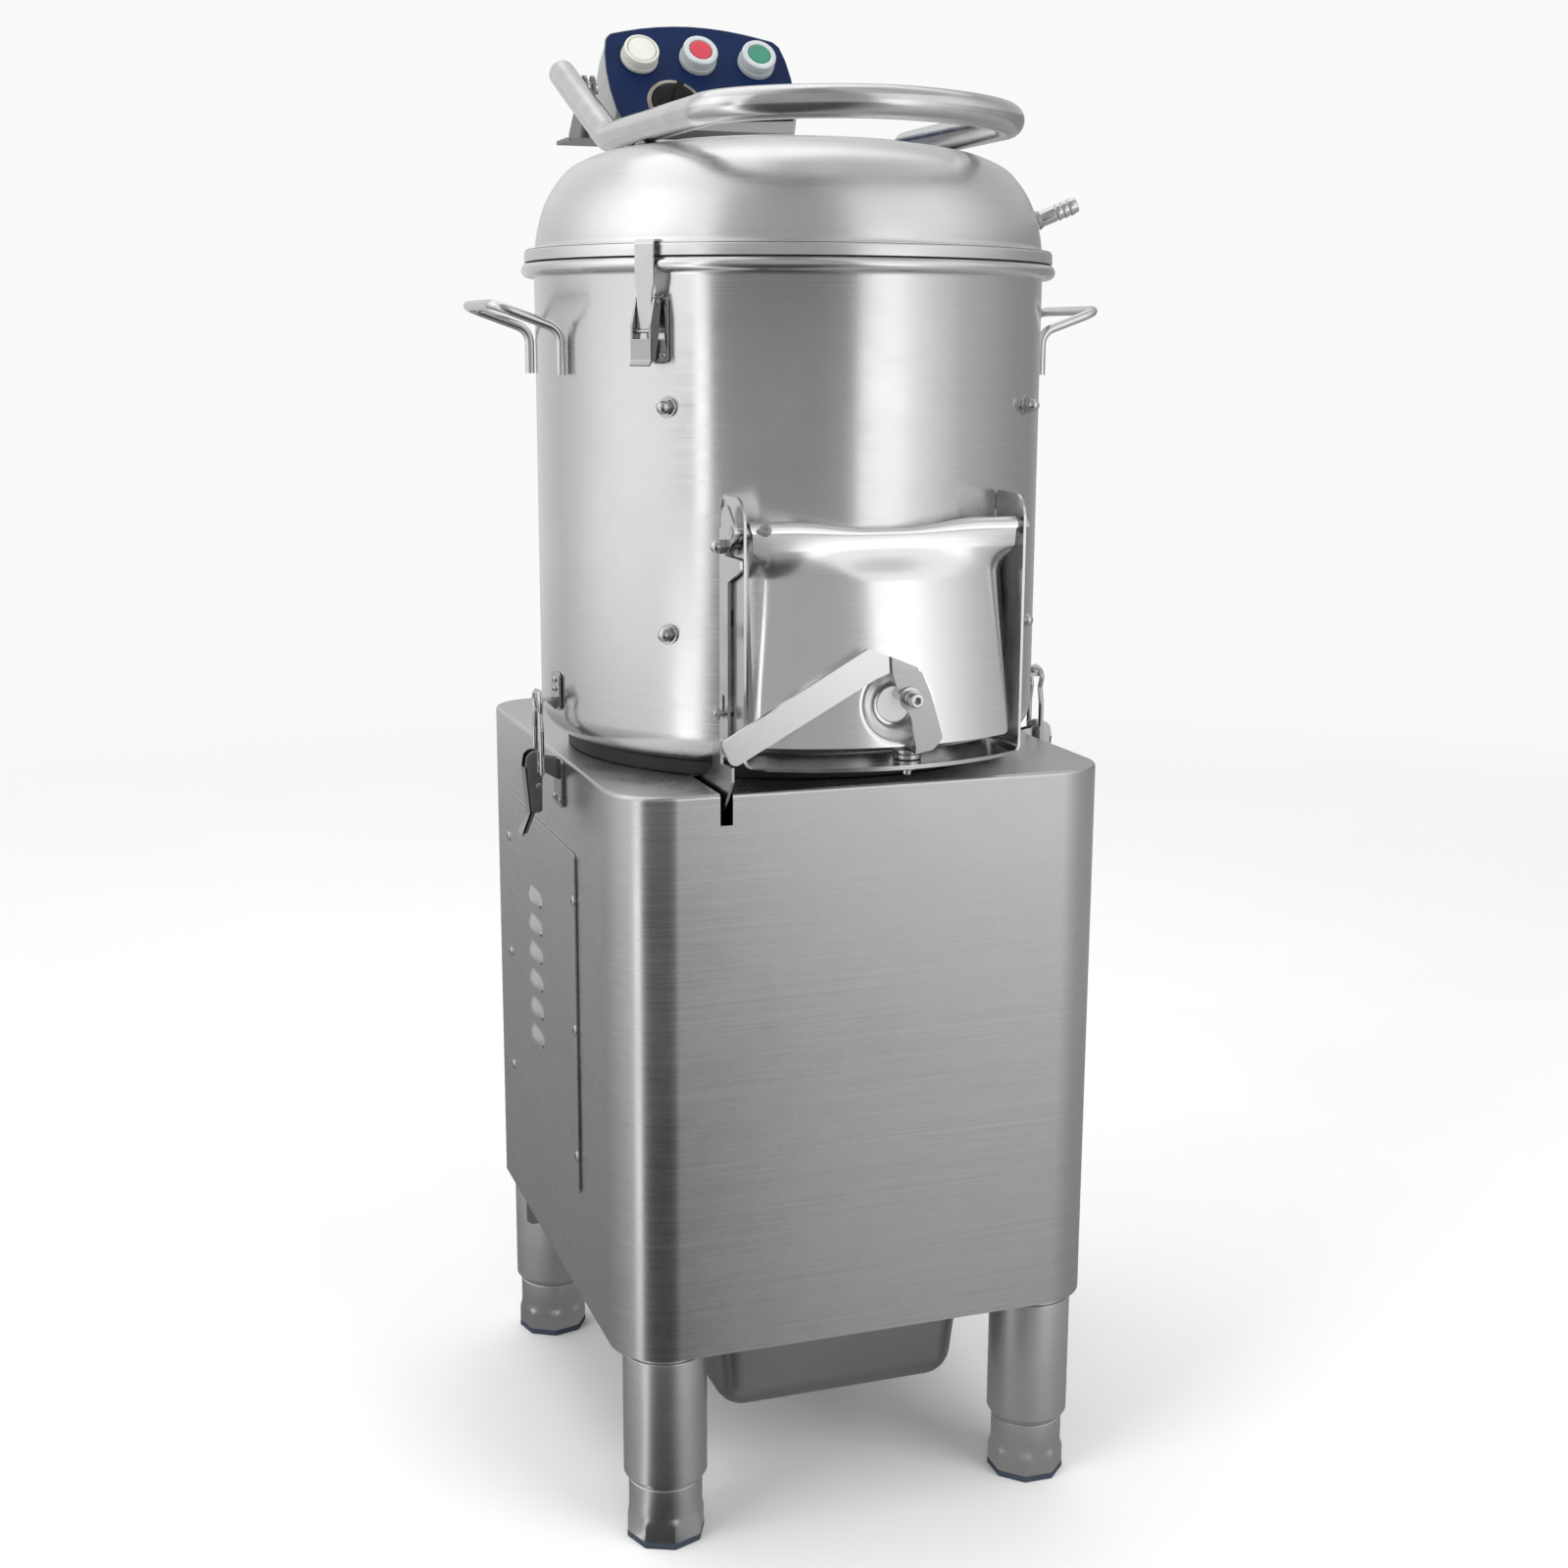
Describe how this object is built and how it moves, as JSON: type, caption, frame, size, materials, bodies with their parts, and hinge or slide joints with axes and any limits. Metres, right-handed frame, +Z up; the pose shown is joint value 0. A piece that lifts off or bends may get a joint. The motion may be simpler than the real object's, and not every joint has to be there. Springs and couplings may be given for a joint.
{
  "type": "abrasive vegetable peeler",
  "caption": "Floor-standing vegetable peeler: a steel drum with a domed lid and a front discharge door on a cabinet with adjustable legs and a waste tray.",
  "frame": {"origin": "floor level, at the centre of the footprint", "axes": "+Z up, -Y towards the front with the discharge door, +X to the right seen from the front"},
  "size_m": [0.4786, 0.5214, 1.1322],
  "materials": {
    "cabinet_wall": "satin grain running horizontally",
    "cabinet_top": "satin grain running horizontally",
    "base_frame": "satin grain running horizontally",
    "side_panel": "satin grain running horizontally",
    "motor_body": "satin paint",
    "drive_belt": "matt black",
    "bearing_housing": "machined",
    "lower_bearing": "ground",
    "upper_bearing": "ground",
    "shaft_seal": "matt black",
    "drum_shell": "satin grain running round the drum",
    "drum_mount_ring": "matt black",
    "abrasive_lining": "coarse grit bonded in resin",
    "carry_handle_left": "polished",
    "carry_handle_right": "polished",
    "door_frame": "polished",
    "catch_roller": "polished",
    "base_latch_hook_left": "bright, fine scratches",
    "base_latch_hook_right": "bright, fine scratches",
    "rear_column": "satin grain running horizontally",
    "control_box": "satin grain running horizontally",
    "control_facia": "dark blue panel",
    "indicator_lamp": "translucent white boot",
    "timer_ring": "bright, fine scratches",
    "lid_hinge_bracket": "satin grain running horizontally",
    "lid_latch_base": "bright, fine scratches",
    "base_latch_base_left": "bright, fine scratches",
    "base_latch_base_right": "bright, fine scratches",
    "waste_pipe": "extruded",
    "cable_gland": "moulded",
    "interlock_switch": "moulded",
    "lid_shell": "satin grain running round the drum",
    "lid_handle": "polished",
    "hose_barb": "polished",
    "lid_seal": "matt black",
    "door_panel": "satin grain running round the drum",
    "door_hinge_pin": "polished",
    "door_pad": "machined nylon",
    "door_crank": "polished",
    "pivot_screw": "polished",
    "door_lever": "polished",
    "interlock_rod": "polished",
    "lid_latch_lever": "bright, fine scratches",
    "lid_latch_strap": "bright, fine scratches",
    "base_latch_lever_left": "bright, fine scratches",
    "base_latch_bail_left": "bright, fine scratches",
    "base_latch_lever_right": "bright, fine scratches",
    "base_latch_bail_right": "bright, fine scratches",
    "red_button": "soft boot",
    "green_button": "soft boot",
    "timer_knob": "moulded",
    "abrasive_disc": "coarse grit bonded in resin",
    "main_shaft": "ground",
    "drum_pulley": "machined",
    "motor_pulley": "machined",
    "waste_tray": "satin grain running horizontally",
    "foot_front_left": "satin, on a dark rubber pad",
    "foot_front_right": "satin, on a dark rubber pad",
    "foot_back_left": "satin, on a dark rubber pad",
    "foot_back_right": "satin, on a dark rubber pad"
  },
  "bodies": {
    "base": {"cabinet_wall": "cabinet_wall", "cabinet_top": "cabinet_top", "base_frame": "base_frame", "side_panel": "side_panel", "motor_body": "motor_body", "drive_belt": "drive_belt", "bearing_housing": "bearing_housing", "lower_bearing": "lower_bearing", "upper_bearing": "upper_bearing", "shaft_seal": "shaft_seal", "drum_shell": "drum_shell", "drum_mount_ring": "drum_mount_ring", "abrasive_lining": "abrasive_lining", "carry_handle_left": "carry_handle_left", "carry_handle_right": "carry_handle_right", "door_frame": "door_frame", "catch_roller": "catch_roller", "base_latch_hook_left": "base_latch_hook_left", "base_latch_hook_right": "base_latch_hook_right", "rear_column": "rear_column", "control_box": "control_box", "control_facia": "control_facia", "indicator_lamp": "indicator_lamp", "timer_ring": "timer_ring", "lid_hinge_bracket": "lid_hinge_bracket", "lid_latch_base": "lid_latch_base", "base_latch_base_left": "base_latch_base_left", "base_latch_base_right": "base_latch_base_right", "waste_pipe": "waste_pipe", "cable_gland": "cable_gland", "interlock_switch": "interlock_switch"},
    "lid": {"lid_shell": "lid_shell", "lid_handle": "lid_handle", "hose_barb": "hose_barb", "lid_seal": "lid_seal"},
    "door": {"door_panel": "door_panel", "door_hinge_pin": "door_hinge_pin", "door_pad": "door_pad", "door_crank": "door_crank", "pivot_screw": "pivot_screw"},
    "door_lever": {"door_lever": "door_lever"},
    "interlock_rod": {"interlock_rod": "interlock_rod"},
    "lid_latch_lever": {"lid_latch_lever": "lid_latch_lever"},
    "lid_latch_strap": {"lid_latch_strap": "lid_latch_strap"},
    "base_latch_lever_left": {"base_latch_lever_left": "base_latch_lever_left"},
    "base_latch_bail_left": {"base_latch_bail_left": "base_latch_bail_left"},
    "base_latch_lever_right": {"base_latch_lever_right": "base_latch_lever_right"},
    "base_latch_bail_right": {"base_latch_bail_right": "base_latch_bail_right"},
    "red_button": {"red_button": "red_button"},
    "green_button": {"green_button": "green_button"},
    "timer_knob": {"timer_knob": "timer_knob"},
    "turntable": {"abrasive_disc": "abrasive_disc", "main_shaft": "main_shaft", "drum_pulley": "drum_pulley"},
    "motor_rotor": {"motor_pulley": "motor_pulley"},
    "waste_tray": {"waste_tray": "waste_tray"},
    "foot_front_left": {"foot_front_left": "foot_front_left"},
    "foot_front_right": {"foot_front_right": "foot_front_right"},
    "foot_back_left": {"foot_back_left": "foot_back_left"},
    "foot_back_right": {"foot_back_right": "foot_back_right"}
  },
  "joints": [
    {"name": "lid_hinge", "type": "hinge", "parent": "base", "child": "lid", "pos_m": [0, 0.19625, 1.073], "axis": [-1, 0, 0], "range_deg": [0, 90]},
    {"name": "door_hinge", "type": "hinge", "parent": "base", "child": "door", "pos_m": [0, -0.20275, 0.747], "axis": [-1, 0, 0], "range_deg": [0, 70]},
    {"name": "door_lever_pivot", "type": "hinge", "parent": "door", "child": "door_lever", "pos_m": [0.0028, -0.24525, 0.637], "axis": [0, 1, 0], "range_deg": [0, 25]},
    {"name": "interlock_rod_slide", "type": "slide", "parent": "base", "child": "interlock_rod", "axis": [0, 0, -1], "range_m": [0, 0.01]},
    {"name": "lid_latch_pivot", "type": "hinge", "parent": "base", "child": "lid_latch_lever", "pos_m": [-0.14714, -0.13624, 0.898], "axis": [-0.6691, 0.7431, 0], "range_deg": [0, 120]},
    {"name": "lid_latch_strap_pivot", "type": "hinge", "parent": "lid_latch_lever", "child": "lid_latch_strap", "pos_m": [-0.15011, -0.13891, 0.8786], "axis": [-0.6691, 0.7431, 0], "range_deg": [-121, 1]},
    {"name": "base_latch_left_pivot", "type": "hinge", "parent": "base", "child": "base_latch_lever_left", "pos_m": [-0.204, -0.02875, 0.565], "axis": [0, 1, 0], "range_deg": [0, 110]},
    {"name": "base_latch_left_bail_pivot", "type": "hinge", "parent": "base_latch_lever_left", "child": "base_latch_bail_left", "pos_m": [-0.204, -0.02875, 0.557], "axis": [0, 1, 0], "range_deg": [-111, 1]},
    {"name": "base_latch_right_pivot", "type": "hinge", "parent": "base", "child": "base_latch_lever_right", "pos_m": [0.204, -0.02875, 0.565], "axis": [0, -1, 0], "range_deg": [0, 110]},
    {"name": "base_latch_right_bail_pivot", "type": "hinge", "parent": "base_latch_lever_right", "child": "base_latch_bail_right", "pos_m": [0.204, -0.02875, 0.557], "axis": [0, -1, 0], "range_deg": [-111, 1]},
    {"name": "red_button_press", "type": "slide", "parent": "base", "child": "red_button", "axis": [0, 0.8321, -0.5547], "range_m": [0, 0.004], "stiffness_N_per_m": 400},
    {"name": "green_button_press", "type": "slide", "parent": "base", "child": "green_button", "axis": [0, 0.8321, -0.5547], "range_m": [0, 0.004], "stiffness_N_per_m": 400},
    {"name": "timer_knob_turn", "type": "hinge", "parent": "base", "child": "timer_knob", "pos_m": [-0.027, 0.20084, 1.06339], "axis": [0, 0.8321, -0.5547], "range_deg": [0, 300]},
    {"name": "turntable_spin", "type": "hinge", "parent": "base", "child": "turntable", "pos_m": [0, -0.00375, 0.597], "axis": [0, 0, 1], "continuous": true},
    {"name": "motor_spin", "type": "hinge", "parent": "base", "child": "motor_rotor", "pos_m": [0.075, 0.11625, 0.226], "axis": [0, 0, 1], "continuous": true},
    {"name": "waste_tray_slide", "type": "slide", "parent": "base", "child": "waste_tray", "axis": [0, -1, 0], "range_m": [0, 0.22]},
    {"name": "foot_front_left_adjust", "type": "slide", "parent": "base", "child": "foot_front_left", "axis": [0, 0, 1], "range_m": [-0.025, 0]},
    {"name": "foot_front_right_adjust", "type": "slide", "parent": "base", "child": "foot_front_right", "axis": [0, 0, 1], "range_m": [-0.025, 0]},
    {"name": "foot_back_left_adjust", "type": "slide", "parent": "base", "child": "foot_back_left", "axis": [0, 0, 1], "range_m": [-0.025, 0]},
    {"name": "foot_back_right_adjust", "type": "slide", "parent": "base", "child": "foot_back_right", "axis": [0, 0, 1], "range_m": [-0.025, 0]}
  ],
  "couplings": [
    {"joint": "interlock_rod_slide", "follows": "door_hinge", "m_per_rad": 0.007563},
    {"joint": "lid_latch_strap_pivot", "follows": "lid_latch_pivot", "ratio": -1},
    {"joint": "base_latch_left_bail_pivot", "follows": "base_latch_left_pivot", "ratio": -1},
    {"joint": "base_latch_right_bail_pivot", "follows": "base_latch_right_pivot", "ratio": -1},
    {"joint": "motor_spin", "follows": "turntable_spin", "ratio": 3.8636}
  ]
}
